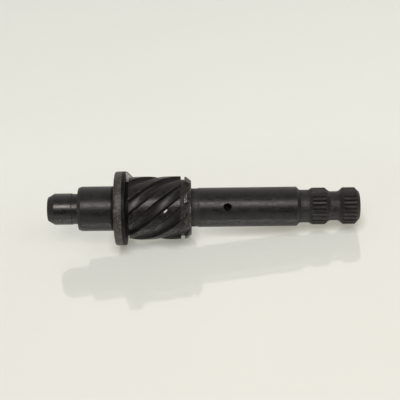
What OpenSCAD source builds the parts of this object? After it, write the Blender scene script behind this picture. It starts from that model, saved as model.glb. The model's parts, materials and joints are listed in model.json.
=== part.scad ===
// Kick start shaft: one bar, turned, splined and ground, lying at rest on a flat surface.
// The shaft is made along its own axis, with stations counted from the pilot end face.
// One module at the end rolls it, tips it and lays it down.

/* [Pilot journal] */
// Diameter of the small ground journal at the closed end of the casing
pilot_d = 12; // [11:0.1:14]
// Length of the ground journal, with its lead-in cone
pilot_l = 9.15; // [7:0.05:12]
// Length of the lead-in cone
pilot_lead_l = 2.6; // [1:0.1:4]
// Height of the lead-in cone, measured on the radius
pilot_lead_h = 1.5; // [0.5:0.1:2]
// Width of the grinding relief beside the shoulder
pilot_relief_l = 2.55; // [1:0.05:4]
// Depth of the grinding relief
pilot_relief_h = 0.2; // [0.1:0.05:0.5]

/* [Bearing journal] */
// Diameter of the large ground journal
journal_d = 17; // [16:0.1:19]
// Length of the journal, from its shoulder to the flange
journal_l = 13.9; // [10:0.1:18]
// Length of the long edge break at the shoulder
journal_lead_l = 1.3; // [0.5:0.1:2.5]
// Height of the edge break, measured on the radius
journal_lead_h = 0.5; // [0.2:0.05:1]
// Radius of the fillet against the flange, small enough to clear a bearing's corner
journal_fillet_r = 0.3; // [0.2:0.05:1]

/* [Flange] */
// Diameter of the flange
flange_d = 28.2; // [27:0.1:32]
// Thickness of the flange
flange_t = 4.35; // [3:0.05:6]
// Radius of the rim edge on the journal's side
flange_soft_r = 1; // [0.5:0.05:1.4]
// Radius of the rim edge on the spline's side
flange_edge_r = 0.5; // [0.2:0.05:0.8]
// Angle that the ramp lug takes up on the flange's spline side
lug_angle = 30; // [15:1:60]
// Width of the flat on top of the lug
lug_flat_l = 0.3; // [0.1:0.05:0.6]
// Drop of the lug's top below the flange's rim
lug_drop_h = 0.1; // [0.05:0.05:0.4]

/* [Helical spline] */
// Diameter over the teeth
helix_d = 24; // [22:0.1:25]
// Length of the teeth, with their end chamfer
helix_l = 23.45; // [20:0.05:28]
// Number of teeth
helix_teeth = 8; // [6:1:9]
// Advance of the left-hand helix in one turn
helix_lead = 90; // [80:0.1:120]
// Height of a tooth above the root
tooth_h = 1.5; // [1:0.05:1.8]
// Width of a tooth's top, across the axis
tooth_top_w = 3.2; // [2.5:0.1:4]
// Slope of a tooth's sides, away from the radius
tooth_side_angle = 30; // [15:1:35]
// Height of the fillet at the foot of a tooth
tooth_fillet_h = 0.35; // [0.1:0.05:0.6]
// Width of the run-out groove between the flange and the teeth
run_out_l = 1.1; // [0.8:0.05:2]
// Depth of the run-out groove below the root
run_out_h = 0.2; // [0.1:0.05:0.5]
// Width of the retaining ring groove
ring_groove_l = 1.45; // [1:0.05:2]
// Depth of the ring groove below the tops of the teeth
ring_groove_h = 1.3; // [0.8:0.05:1.7]
// Length of tooth left beyond the ring groove
ring_setback_l = 2.5; // [2:0.05:4]

/* [Main journal] */
// Diameter of the long ground journal
main_d = 15; // [14:0.1:17]
// Length of the journal, with its lead-in cone and end chamfer
main_l = 39.1; // [32:0.1:50]
// Width of the relief between the spline and the journal
main_relief_l = 2.1; // [1:0.05:4]
// Depth of that relief
main_relief_h = 0.22; // [0.1:0.01:0.5]
// Length of the cone from the relief up to the journal
main_lead_l = 1.1; // [0.5:0.1:2]
// Length of the chamfer down to the lever spline's neck
main_chamfer_l = 1.25; // [0.8:0.05:2]

/* [Spring hole] */
// Diameter of the hole for the return spring's end
spring_hole_d = 2.8; // [2:0.1:3.5]
// Depth of the hole to the start of its drill point
spring_hole_l = 7; // [4:0.5:9]
// Distance of the hole from the end of the helical spline
spring_hole_at = 13.65; // [8:0.05:24]
// Width of the hole's edge break
spring_hole_rim_w = 0.25; // [0.1:0.05:0.5]
// Point angle of the drill
drill_point_angle = 118; // [90:1:135]

/* [Lever spline] */
// Diameter over the serration
lever_d = 14; // [13:0.1:16]
// Length from the neck to the end face
lever_l = 19.1; // [17:0.1:24]
// Number of serrations
lever_teeth = 26; // [18:1:28]
// Depth of a serration
lever_tooth_h = 0.6; // [0.4:0.05:0.8]
// Included angle of a serration's groove
lever_groove_angle = 84; // [60:1:90]
// Length of the neck before the spline
lever_neck_l = 3.5; // [2:0.1:6]
// Depth of the neck below the serration's root
lever_neck_h = 0.15; // [0.1:0.05:0.4]
// Length of the lead-in cone from the neck
lever_lead_l = 1.25; // [0.5:0.05:2]
// Width and height of the chamfer at the end face
lever_chamfer_w = 1.7; // [1:0.1:2.5]
// Distance of the pinch bolt groove's middle from the end face
bolt_groove_at = 9.6; // [8.5:0.1:11]
// Depth of the pinch bolt groove
bolt_groove_h = 1.45; // [1:0.05:1.8]
// Width of the flat floor of the groove
bolt_floor_w = 1.9; // [1:0.1:3]
// Radius of the groove's corners
bolt_corner_r = 2.1; // [1.9:0.1:2.6]
// Width of the groove's mouth at the serration's tips
bolt_mouth_w = 6.9; // [6:0.1:8]

/* [Lathe centres] */
// Diameter of the 60 degree centres in both end faces
centre_d = 3.2; // [2:0.1:4]
// Diameter of the pilot drilling in a centre
centre_drill_d = 1.5; // [1:0.1:1.8]
// Depth of the pilot drilling beyond the cone
centre_drill_l = 1.6; // [1:0.1:3]

/* [Clocking] */
// Turn of a helical tooth's middle from the spring hole, at the flange end of the spline
helix_clock = 22; // [0:1:45]
// Turn of a serration groove from the spring hole
lever_clock = -3; // [-10:0.5:10]
// Turn of the lug's middle from the spring hole
lug_clock = -91; // [-180:1:180]
// Height of the spring hole's direction above the level as the shaft lies, in degrees
lie_angle = 36; // [0:1:90]

/* [Hidden] */
$fn = 128;
// How far a cutting shape runs past what it cuts, and a joined one sinks in
over = 1;
// Turn of the helix in one facet, in degrees
helix_facet_angle = 3;
// How far a tooth is sunk into the root, and stands proud before it is turned to size
tooth_sunk_h = 0.3;
fillet_flare_angle = 60;
centre_cone_angle = 60;
radian = 180 / PI;

pilot_r = pilot_d / 2;
pilot_face_r = pilot_r - pilot_lead_h;
journal_r = journal_d / 2;
flange_r = flange_d / 2;
helix_r = helix_d / 2;
root_r = helix_r - tooth_h;
tooth_fillet_r = root_r + tooth_fillet_h;
run_out_r = root_r - run_out_h;
ring_groove_r = helix_r - ring_groove_h;
main_r = main_d / 2;
lever_r = lever_d / 2;
lever_root_r = lever_r - lever_tooth_h;
lever_neck_r = lever_root_r - lever_neck_h;
lever_face_r = lever_r - lever_chamfer_w;
bolt_floor_r = lever_r - bolt_groove_h;

// Stations along the axis, in order from the pilot end face
shoulder_x = pilot_l + pilot_relief_l;
flange_x = shoulder_x + journal_l;
flange_end_x = flange_x + flange_t;
helix_x = flange_end_x + run_out_l;
helix_end_x = helix_x + helix_l;
ring_groove_end_x = helix_end_x - ring_setback_l;
ring_groove_x = ring_groove_end_x - ring_groove_l;
helix_chamfer_x = helix_end_x - (helix_r - run_out_r);
main_x = helix_end_x + main_relief_l;
main_end_x = main_x + main_l;
lever_x = main_end_x + lever_neck_l;
end_x = lever_x + lever_l;
lever_chamfer_x = end_x - lever_chamfer_w;
bolt_groove_x = end_x - bolt_groove_at;
spring_hole_x = helix_end_x + spring_hole_at;

// Rest: the flange's rim and one edge nearer the lever end touch the surface.
// The edge that touches is the one that stops the tipping first.
rim_x = flange_end_x - flange_edge_r;
rim_r = flange_r - flange_edge_r;
function tip_onto(x, r) =
    atan2(rim_r - r, x - rim_x) + asin(flange_edge_r / norm([x - rim_x, rim_r - r]));
tip_angle = min(
    tip_onto(helix_chamfer_x, helix_r),
    tip_onto(main_end_x - main_chamfer_l, main_r),
    tip_onto(lever_chamfer_x, lever_r)
);
axis_height = rim_x * sin(tip_angle) + rim_r * cos(tip_angle) + flange_edge_r;
lying_start = -pilot_face_r * sin(tip_angle);
lying_end = end_x * cos(tip_angle) + lever_face_r * sin(tip_angle);
// The spring hole is drilled from straight below in the shaft's own frame
roll_angle = -90 - lie_angle;
// Each turned face starts and ends just beside the line that the shaft rests on
seam_offset = 2.4;
seam_angle = 90 + lie_angle + seam_offset;

// Points given as [station, radius], as a profile for turning
function profile(points) = [for (p = points) [p[1], p[0]]];

// Turns a profile round the shaft's axis
module turned() {
    clocked(seam_angle)
        rotate([0, 90, 0])
            rotate_extrude()
                children();
}

// Sets a shape that points along -Z, as the spring hole does, at a turn about the axis
module clocked(angle) {
    rotate([angle, 0, 0]) children();
}

// The flange's section, with rounded rim edges and a fillet against the bearing journal
module flange_profile() {
    soft_x = flange_x + flange_soft_r;
    soft_rim_r = flange_r - flange_soft_r;
    translate([0, flange_x])
        square([soft_rim_r, flange_t]);
    translate([0, soft_x])
        square([rim_r, flange_end_x - soft_x]);
    translate([0, soft_x])
        square([flange_r, rim_x - soft_x]);
    translate([soft_rim_r, soft_x])
        circle(r = flange_soft_r);
    translate([rim_r, rim_x])
        circle(r = flange_edge_r);
    difference() {
        translate([0, flange_x - journal_fillet_r])
            square([journal_r + journal_fillet_r, journal_fillet_r + over]);
        translate([journal_r + journal_fillet_r, flange_x - journal_fillet_r])
            circle(r = journal_fillet_r);
    }
}

// The round-cornered groove that the lever's pinch bolt crosses
module bolt_groove_profile() {
    corner_x = bolt_floor_w / 2;
    corner_y = bolt_floor_r + bolt_corner_r;
    foot_x = corner_x + sqrt(pow(bolt_corner_r, 2) - pow(corner_y - lever_neck_r, 2));
    mouth_x = bolt_mouth_w / 2;
    translate([0, bolt_groove_x]) {
        translate([bolt_floor_r, -corner_x])
            square([lever_r + over - bolt_floor_r, bolt_floor_w]);
        for (side = [-1, 1])
            translate([corner_y, side * corner_x])
                circle(r = bolt_corner_r);
        polygon(profile([
            [-foot_x, lever_neck_r],
            [-mouth_x, lever_r],
            [-mouth_x, lever_r + over],
            [mouth_x, lever_r + over],
            [mouth_x, lever_r],
            [foot_x, lever_neck_r]
        ]));
    }
}

// A lathe centre, cut into a face at station 0 and running towards +X
module centre_profile() {
    cone_l = (centre_d - centre_drill_d) / 2 / tan(centre_cone_angle / 2);
    drill_r = centre_drill_d / 2;
    drill_x = cone_l + centre_drill_l;
    polygon(profile([
        [-over, 0],
        [-over, centre_d / 2 + over * tan(centre_cone_angle / 2)],
        [cone_l, drill_r],
        [drill_x, drill_r],
        [drill_x + drill_r / tan(drill_point_angle / 2), 0]
    ]));
}

// The whole bar after turning, with the helical spline still at its root
module turned_bar() {
    turned()
        difference() {
            union() {
                polygon(profile([
                    [0, 0],
                    [0, pilot_face_r],
                    [pilot_lead_l, pilot_r],
                    [pilot_l, pilot_r],
                    [pilot_l + pilot_relief_h, pilot_r - pilot_relief_h],
                    [shoulder_x, pilot_r - pilot_relief_h],
                    [shoulder_x, journal_r - journal_lead_h],
                    [shoulder_x + journal_lead_l, journal_r],
                    [flange_x + over, journal_r],
                    [flange_x + over, root_r],
                    [helix_end_x, root_r],
                    [helix_end_x, main_r - main_relief_h],
                    [main_x, main_r - main_relief_h],
                    [main_x + main_lead_l, main_r],
                    [main_end_x - main_chamfer_l, main_r],
                    [main_end_x, lever_neck_r],
                    [lever_x, lever_neck_r],
                    [lever_x + lever_lead_l, lever_r],
                    [lever_chamfer_x, lever_r],
                    [end_x, lever_face_r],
                    [end_x, 0]
                ]));
                flange_profile();
            }
            bolt_groove_profile();
            centre_profile();
            translate([0, end_x])
                mirror([0, 1])
                    centre_profile();
        }
}

// Half the angle that a tooth takes up at a radius, on its straight side
function side_angle(r) =
    (tooth_top_w / helix_d + (helix_r - r) * tan(tooth_side_angle) * 2 / (helix_r + r)) * radian;

// Half the angle at a radius below the straight side, where the root fillet flares out
function flare_angle(r) =
    side_angle(tooth_fillet_r) + (tooth_fillet_r - r) * tan(fillet_flare_angle) / tooth_fillet_r * radian;

// One helical tooth, sunk into the root and standing proud until it is turned to size
module helical_tooth() {
    sunk_r = root_r - tooth_sunk_h;
    proud_r = helix_r + tooth_sunk_h;
    middle_r = (helix_r + tooth_fillet_r) / 2;
    side = [
        [sunk_r, flare_angle(sunk_r)],
        [tooth_fillet_r, side_angle(tooth_fillet_r)],
        [middle_r, side_angle(middle_r)],
        [proud_r, side_angle(proud_r)]
    ];
    corners = len(side);
    start = helix_x - run_out_l / 2;
    length = helix_end_x - run_out_h / 2 - start;
    turn = 360 * length / helix_lead;
    slices = ceil(turn / helix_facet_angle);
    // The tooth is drawn along +X, which points along -Z once the extrusion lies on the axis
    translate([start, 0, 0])
        rotate([0, 90, 0])
            rotate(360 * (run_out_l / 2) / helix_lead)
                linear_extrude(height = length, twist = turn, slices = slices, segments = 2 * corners)
                    polygon([
                        for (p = side) p[0] * [cos(p[1]), -sin(p[1])],
                        for (i = [corners - 1 : -1 : 0]) side[i][0] * [cos(side[i][1]), sin(side[i][1])]
                    ]);
}

module helical_teeth() {
    for (i = [0 : helix_teeth - 1])
        clocked(helix_clock + i * 360 / helix_teeth)
            helical_tooth();
}

// What the lathe takes off the teeth: their tops, both grooves and the end chamfer
module spline_turning() {
    clear_r = helix_r + 2 * over;
    turned()
        polygon(profile([
            [flange_end_x, run_out_r],
            [helix_x, run_out_r],
            [helix_x, helix_r],
            [ring_groove_x, helix_r],
            [ring_groove_x, ring_groove_r],
            [ring_groove_end_x, ring_groove_r],
            [ring_groove_end_x, helix_r],
            [helix_chamfer_x, helix_r],
            [helix_end_x, run_out_r],
            [helix_end_x + over, run_out_r - over],
            [helix_end_x + over, clear_r],
            [flange_end_x, clear_r]
        ]));
}

// The ramp lug left between the flange and the start of the teeth
module ramp_lug() {
    top_r = flange_r - lug_drop_h;
    base_r = root_r - over;
    rotate([0, 90, 0])
        rotate(-lug_angle / 2)
            rotate_extrude(angle = lug_angle)
                polygon([
                    [base_r, flange_end_x - over],
                    [top_r, flange_end_x - over],
                    [top_r, flange_end_x + lug_flat_l],
                    [base_r, flange_end_x + lug_flat_l + top_r - base_r]
                ]);
}

// The serration's V grooves, cut straight through both spline lands
module serration() {
    half_w = (lever_tooth_h + over) * tan(lever_groove_angle / 2);
    for (i = [0 : lever_teeth - 1])
        clocked(lever_clock + i * 360 / lever_teeth)
            translate([lever_x - over, 0, 0])
                rotate([0, 90, 0])
                    linear_extrude(height = lever_l + 2 * over)
                        polygon([
                            [lever_root_r, 0],
                            [lever_r + over, -half_w],
                            [lever_r + over, half_w]
                        ]);
}

// The blind hole for the return spring's end, with its drill point and edge break
module spring_hole() {
    hole_r = spring_hole_d / 2;
    floor_r = main_r - spring_hole_l;
    point_l = hole_r / tan(drill_point_angle / 2);
    translate([spring_hole_x, 0, 0])
        rotate([180, 0, 0])
            rotate_extrude()
                polygon([
                    [0, floor_r - point_l],
                    [hole_r, floor_r],
                    [hole_r, main_r - spring_hole_rim_w],
                    [hole_r + spring_hole_rim_w + over, main_r + over],
                    [0, main_r + over]
                ]);
}

module shaft_on_its_axis() {
    difference() {
        union() {
            turned_bar();
            helical_teeth();
        }
        spline_turning();
        serration();
        spring_hole();
    }
    clocked(lug_clock)
        ramp_lug();
}

// The shaft rolled to its lie, tipped on to the flange's rim and centred over the origin
module kick_start_shaft() {
    color("#2d2b2c")
        translate([-(lying_start + lying_end) / 2, 0, axis_height])
            rotate([0, tip_angle, 0])
                rotate([roll_angle, 0, 0])
                    shaft_on_its_axis();
}

kick_start_shaft();
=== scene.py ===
# %% [markdown]
# # A kick start shaft in blackened steel
# The real part is one steel bar: turned in a lathe, milled and ground, then dipped in a hot bath
# that blackens it. It lies on a glossy white table, held up by the rim of its flange and by the
# end of its lever spline. The packed model holds the true solid. This lesson makes the surface
# that the eye sees: the same sizes, with rounded edges and teeth, and a finish that shows how
# each stretch was cut.

# %% Load the packed model
import json
import math
from dataclasses import dataclass

import bmesh
import bpy
import numpy as np
from mathutils import Matrix, Vector, kdtree


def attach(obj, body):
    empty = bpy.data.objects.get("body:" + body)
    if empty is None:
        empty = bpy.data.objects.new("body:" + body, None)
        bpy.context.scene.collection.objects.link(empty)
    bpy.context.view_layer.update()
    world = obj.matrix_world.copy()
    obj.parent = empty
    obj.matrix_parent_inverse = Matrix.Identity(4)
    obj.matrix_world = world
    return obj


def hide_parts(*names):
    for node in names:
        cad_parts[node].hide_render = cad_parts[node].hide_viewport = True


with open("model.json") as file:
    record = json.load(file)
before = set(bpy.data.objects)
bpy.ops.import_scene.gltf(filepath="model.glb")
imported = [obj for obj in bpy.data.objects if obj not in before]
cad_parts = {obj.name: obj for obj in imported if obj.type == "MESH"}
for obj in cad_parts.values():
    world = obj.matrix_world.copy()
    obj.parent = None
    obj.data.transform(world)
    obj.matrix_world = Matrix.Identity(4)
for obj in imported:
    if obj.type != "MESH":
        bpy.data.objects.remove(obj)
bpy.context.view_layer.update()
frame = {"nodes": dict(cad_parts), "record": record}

print("CAD nodes:", sorted(frame["nodes"]))

# %% [markdown]
# ## Where the shaft lies
# Everything on a shaft is measured along its axis and round it, so this lesson works in those
# terms: a station in millimetres from the pilot end face, a radius, and a turn in degrees from
# the spring hole. The packed record says where the main journal and the spring hole are. Reading
# the axis from there, and not from typed numbers, keeps the look and the solid together.

# %% The shaft's own frame
MM = 0.001
SPRING_HOLE_X = 68.15

mounts = {m["name"]: m for m in frame["record"]["mounts"]}
along = Vector(mounts["main_journal"]["axis"]).normalized()
hole_way = Vector(mounts["spring_hole"]["axis"]).normalized()
side_way = along.cross(hole_way)
journal_middle = Vector(mounts["main_journal"]["pos_m"])
hole_point = Vector(mounts["spring_hole"]["pos_m"])
hole_foot = journal_middle + along * (hole_point - journal_middle).dot(along)
pilot_end = hole_foot - along * SPRING_HOLE_X * MM
tip_angle = math.asin(-along.z)
print("the axis tips down by", round(math.degrees(tip_angle), 2), "degrees")


def around(turn, radius):
    """Where a turn and a radius are, as distances along the hole's way and along the side way."""
    return radius * np.cos(np.radians(turn)), radius * np.sin(np.radians(turn))


def turn_from(middle, turn):
    """How far a turn is from a middle one, the short way round, in degrees."""
    return (turn - middle + 180) % 360 - 180


def laid_down(points):
    """Points given as station, hole way and side way in mm, moved to where the shaft lies."""
    ways = np.array([along, hole_way, side_way])
    return np.array(pilot_end) + MM * np.asarray(points) @ ways


# %% [markdown]
# ## The camera
# The photograph looks down on the shaft by about 36 degrees, square to its axis, from 40 cm away,
# and the camera was held a little turned. A lens of 95 mm gives that narrow view. The camera is
# aimed at a station on the shaft's axis, so it follows the shaft if the model is packed again.

# %% Place the camera
LENS_MM, SENSOR_MM = 95.4, 36.0
CAMERA_FAR, NEAREST_SEEN = 0.4044, 0.01
CAMERA_UP, CAMERA_AROUND, CAMERA_ROLL = 36.0, 3.35, 6.46
AIM_STATION, AIM_ABOVE = 57.8, 2.8231


def add_camera():
    """A camera that looks back at a point just above the shaft's axis."""
    up, swing, roll = (math.radians(v) for v in (CAMERA_UP, CAMERA_AROUND, CAMERA_ROLL))
    back = Vector((math.sin(swing) * math.cos(up), -math.cos(swing) * math.cos(up), math.sin(up)))
    level = Vector((math.cos(swing), math.sin(swing), 0))
    over = back.cross(level)
    right = level * math.cos(roll) - over * math.sin(roll)
    top = over * math.cos(roll) + level * math.sin(roll)
    aim = pilot_end + along * AIM_STATION * MM + top * AIM_ABOVE * MM
    data = bpy.data.cameras.new("camera")
    data.lens = LENS_MM
    data.sensor_width = SENSOR_MM
    data.clip_start = NEAREST_SEEN
    camera = bpy.data.objects.new("camera", data)
    bpy.context.scene.collection.objects.link(camera)
    turned = Matrix((right, top, back)).transposed().to_4x4()
    camera.matrix_world = Matrix.Translation(aim + back * CAMERA_FAR) @ turned
    bpy.context.scene.camera = camera
    return camera


camera = add_camera()
print("camera at", [round(v, 3) for v in camera.matrix_world.translation])

# %% [markdown]
# ## The turned outline
# A lathe makes the whole bar from one outline. It is written here as corners, each with a
# station, a radius and a rounding, because no real edge is sharp: even a tenth of a millimetre
# catches the light. Rounding the outline costs a few rings and no modifier. A bevel modifier
# would round the teeth and the serration by the same amount, where they should stay crisp.
# The flange is drawn 0.005 mm small, so that it stays inside the packed solid's facets. Two of
# the corners only divide a straight stretch, so that the finish can change there: where the painted
# shade beside the flange starts, and where the rim's mottled part ends and painted shade takes over.

# %% Sizes along the shaft, in millimetres
PILOT_FACE_R, PILOT_R, PILOT_RELIEF_R = 4.5, 6.0, 5.8
PILOT_LEAD_X, PILOT_X, PILOT_RELIEF_X, SHOULDER_X = 2.6, 9.15, 9.35, 11.7
JOURNAL_LEAD_R, JOURNAL_R, JOURNAL_LEAD_X, JOURNAL_FILLET_R = 8.0, 8.5, 13.0, 0.3
FLANGE_X, FLANGE_END_X, FLANGE_R, FLANGE_EDGE_R, FLANGE_SOFT_R = 25.6, 29.95, 14.095, 0.5, 1.0
# Where the painted shade starts before the flange, and where it starts again on the rim's far edge.
PAINTED_SHADE_X, RIM_SHADE_X = 24.25, 28.6
HELIX_X, HELIX_END_X, HELIX_R, ROOT_R, RUN_OUT_R = 31.05, 54.5, 12.0, 10.5, 10.3
RING_GROOVE_X, RING_GROOVE_END_X, RING_GROOVE_R, HELIX_CHAMFER_X = 50.55, 52.0, 10.7, 52.8
MAIN_RELIEF_R, MAIN_R, MAIN_X, MAIN_FULL_X = 7.28, 7.5, 56.6, 57.7
MAIN_CHAMFER_X, MAIN_END_X = 94.45, 95.7
LEVER_NECK_R, LEVER_ROOT_R, LEVER_R, LEVER_FACE_R = 6.25, 6.4, 7.0, 5.3
LEVER_X, LEVER_FULL_X, LEVER_CHAMFER_X, END_X = 99.2, 100.45, 116.6, 118.3
BOLT_GROOVE_X, BOLT_FLOOR_R, BOLT_FLOOR_W = 108.7, 5.55, 1.9
BOLT_CORNER_R, BOLT_MOUTH_W = 2.1, 6.9
CENTRE_R, CENTRE_DRILL_R, CENTRE_CONE_L = 1.6, 0.75, 1.47
CENTRE_DRILL_L, CENTRE_POINT_L = 3.07, 3.52
FINE, SMALL, SOFT = 0.06, 0.12, 0.22
CHAMFER_TOP_SOFT, CHAMFER_FOOT_SOFT = 0.8, 0.4
print("the shaft is", END_X, "mm long and", 2 * FLANGE_R, "mm across its flange")


# %% The corners of the outline
def bolt_corner(side, steps=7):
    """The pinch bolt groove's round corner, from its floor up to the foot of its chamfer."""
    rise = (BOLT_FLOOR_R + BOLT_CORNER_R - LEVER_NECK_R) / BOLT_CORNER_R
    for i in range(steps + 1):
        a = math.acos(rise) * i / steps
        x = BOLT_GROOVE_X + side * (BOLT_FLOOR_W / 2 + BOLT_CORNER_R * math.sin(a))
        yield x, BOLT_FLOOR_R + BOLT_CORNER_R * (1 - math.cos(a)), 0


OUTLINE = [
    (CENTRE_POINT_L, 0, 0),
    (CENTRE_DRILL_L, CENTRE_DRILL_R, 0),
    (CENTRE_CONE_L, CENTRE_DRILL_R, 0),
    (0, CENTRE_R, FINE),
    (0, PILOT_FACE_R, SOFT),
    (PILOT_LEAD_X, PILOT_R, SOFT),
    (PILOT_X, PILOT_R, FINE),
    (PILOT_RELIEF_X, PILOT_RELIEF_R, FINE),
    (SHOULDER_X, PILOT_RELIEF_R, SOFT),
    (SHOULDER_X, JOURNAL_LEAD_R, SMALL),
    (JOURNAL_LEAD_X, JOURNAL_R, SOFT),
    (PAINTED_SHADE_X, JOURNAL_R, 0),
    (FLANGE_X, JOURNAL_R, JOURNAL_FILLET_R),
    (FLANGE_X, FLANGE_R, FLANGE_SOFT_R),
    (RIM_SHADE_X, FLANGE_R, 0),
    (FLANGE_END_X, FLANGE_R, FLANGE_EDGE_R),
    (FLANGE_END_X, RUN_OUT_R, SMALL),
    (HELIX_X, RUN_OUT_R, FINE),
    (HELIX_X, HELIX_R, SMALL),
    (RING_GROOVE_X, HELIX_R, FINE),
    (RING_GROOVE_X, RING_GROOVE_R, FINE),
    (RING_GROOVE_END_X, RING_GROOVE_R, FINE),
    (RING_GROOVE_END_X, HELIX_R, FINE),
    (HELIX_CHAMFER_X, HELIX_R, CHAMFER_TOP_SOFT),
    (HELIX_END_X, RUN_OUT_R, CHAMFER_FOOT_SOFT),
    (HELIX_END_X, MAIN_RELIEF_R, SOFT),
    (MAIN_X, MAIN_RELIEF_R, SMALL),
    (MAIN_FULL_X, MAIN_R, SMALL),
    (MAIN_CHAMFER_X, MAIN_R, SMALL),
    (MAIN_END_X, LEVER_NECK_R, SOFT),
    (LEVER_X, LEVER_NECK_R, SMALL),
    (LEVER_FULL_X, LEVER_R, SMALL),
    (BOLT_GROOVE_X - BOLT_MOUTH_W / 2, LEVER_R, SMALL),
    *reversed(list(bolt_corner(-1))),
    *bolt_corner(1),
    (BOLT_GROOVE_X + BOLT_MOUTH_W / 2, LEVER_R, SMALL),
    (LEVER_CHAMFER_X, LEVER_R, SOFT),
    (END_X, LEVER_FACE_R, SMALL),
    (END_X, CENTRE_R, FINE),
    (END_X - CENTRE_CONE_L, CENTRE_DRILL_R, 0),
    (END_X - CENTRE_DRILL_L, CENTRE_DRILL_R, 0),
    (END_X - CENTRE_POINT_L, 0, 0),
]
print("corners in the outline:", len(OUTLINE))

# %% Round the corners
ROUND_STEPS, MOST_OF_A_STRETCH = 3, 0.45


def rounded(corners, steps=ROUND_STEPS):
    """Corners given as x, y and rounding, with a short curve in place of each rounded one."""
    out = []
    for i, (x, y, rounding) in enumerate(corners):
        here = Vector((x, y))
        if not rounding or i in (0, len(corners) - 1):
            out.append(here)
            continue
        before = Vector(corners[i - 1][:2]) - here
        after = Vector(corners[i + 1][:2]) - here
        bend = math.pi - before.angle(after)
        room = MOST_OF_A_STRETCH * min(before.length, after.length)
        cut = min(rounding * math.tan(bend / 2), room)
        first = here + before.normalized() * cut
        last = here + after.normalized() * cut
        for k in range(steps + 1):
            t = k / steps
            out.append(first * (1 - t) ** 2 + here * 2 * t * (1 - t) + last * t**2)
    return out


outline = rounded(OUTLINE)
print("outline points:", len(outline))

# %% [markdown]
# ## Where the rings go
# The surface will be a skin of rings, one for each outline point. Long straight stretches need
# a few rings more: one close to each corner, so that the wear painted on an edge stays on the
# edge, many along the helix, so that its teeth turn smoothly, and closer ones where a chamfer
# cuts across teeth, so that the cut shows its scallops. A block of even rings lies round the
# spring hole, ready to be opened. A subdivision modifier would add points everywhere instead.

# %% Add rings where they are needed
GUARD, LONGEST, HELIX_STEP, CONE_STEP = 0.3, 2.6, 0.5, 0.2
TOOTHED_CONES = [
    (HELIX_CHAMFER_X, HELIX_END_X),
    (LEVER_X, LEVER_FULL_X),
    (BOLT_GROOVE_X - BOLT_MOUTH_W / 2, BOLT_GROOVE_X + BOLT_MOUTH_W / 2),
    (LEVER_CHAMFER_X, END_X),
]
HOLE_PATCH, HOLE_ROWS = 2.3, 16


def steps_between(p, q):
    """How far from p the extra rings stand on the stretch from p to q."""
    gap = (q - p).length
    middle = (p + q) / 2
    cone = any(a < middle.x < b for a, b in TOOTHED_CONES) and middle.y > LEVER_FACE_R
    if cone and abs(q.x - p.x) > CONE_STEP:
        parts = math.ceil(abs(q.x - p.x) / CONE_STEP)
        return [gap * k / parts for k in range(1, parts)]
    if gap > 4 * GUARD:
        longest = HELIX_STEP if HELIX_X < middle.x < HELIX_END_X else LONGEST
        parts = max(1, math.ceil((gap - 2 * GUARD) / longest))
        return [GUARD + (gap - 2 * GUARD) * k / parts for k in range(parts + 1)]
    return []


def more_rings(points):
    """The outline with the extra rings put in."""
    out = [points[0]]
    for p, q in zip(points, points[1:]):
        out += [p + (q - p).normalized() * s for s in steps_between(p, q)]
        out.append(q)
    return out


def hole_ring(k):
    """One of the even rings of the block round the spring hole."""
    return Vector((SPRING_HOLE_X + HOLE_PATCH * (2 * k / HOLE_ROWS - 1), MAIN_R))


outline = more_rings(outline)
hole_rings = [hole_ring(k) for k in range(HOLE_ROWS + 1)]
before_hole = [p for p in outline if p.x < hole_rings[0].x - GUARD]
after_hole = [p for p in outline if p.x > hole_rings[-1].x + GUARD]
outline = before_hole + hole_rings + after_hole
print("rings:", len(outline))

# %% [markdown]
# ## Two toothed sections
# The pinion slides on eight helical teeth, and the lever clamps on twenty-six small serrations.
# Both sections are drawn as corners too, as a turn and a radius, and rounded the same way. Each
# ring has the same number of points, a multiple of both eight and twenty-six, so a plain ring,
# a toothed one and a serrated one can be joined point to point with no leftover.

# %% Sizes of the teeth
RING_POINTS = 208
HELIX_TEETH, HELIX_LEAD, HELIX_CLOCK = 8, 90.0, 22.0
TOOTH_TOP_W, TOOTH_SIDE_ANGLE, TOOTH_FILLET_H, FILLET_FLARE = 3.2, 30.0, 0.35, 60.0
TOOTH_EDGE_R, FILLET_SOFT_R, FOOT_SOFT_R = 0.16, 0.3, 0.2
LAND_SHARES, SIDE_POINT_DROP = (0.45, 0.85), 0.5
LEVER_TEETH, LEVER_CLOCK, LEVER_GROOVE_ANGLE, LEVER_LIP_R = 26, -3.0, 84.0, 0.08


def slope_of(angle):
    return math.tan(math.radians(angle))


def tooth_side(r):
    """Half a tooth's width at a radius, in degrees."""
    spread = (HELIX_R - r) * slope_of(TOOTH_SIDE_ANGLE) * 2 / (HELIX_R + r)
    return math.degrees(TOOTH_TOP_W / 2 / HELIX_R + spread)


def rounded_section(corners, steps):
    """Rounds corners given as turn, radius and rounding, and gives turns and radii back."""
    flat = [(*around(t, r), e) for t, r, e in corners]
    return [(math.degrees(math.atan2(p.y, p.x)), p.length) for p in rounded(flat, steps)]


print("a helical tooth spans", round(2 * tooth_side(HELIX_R), 1), "degrees at its top")


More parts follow.
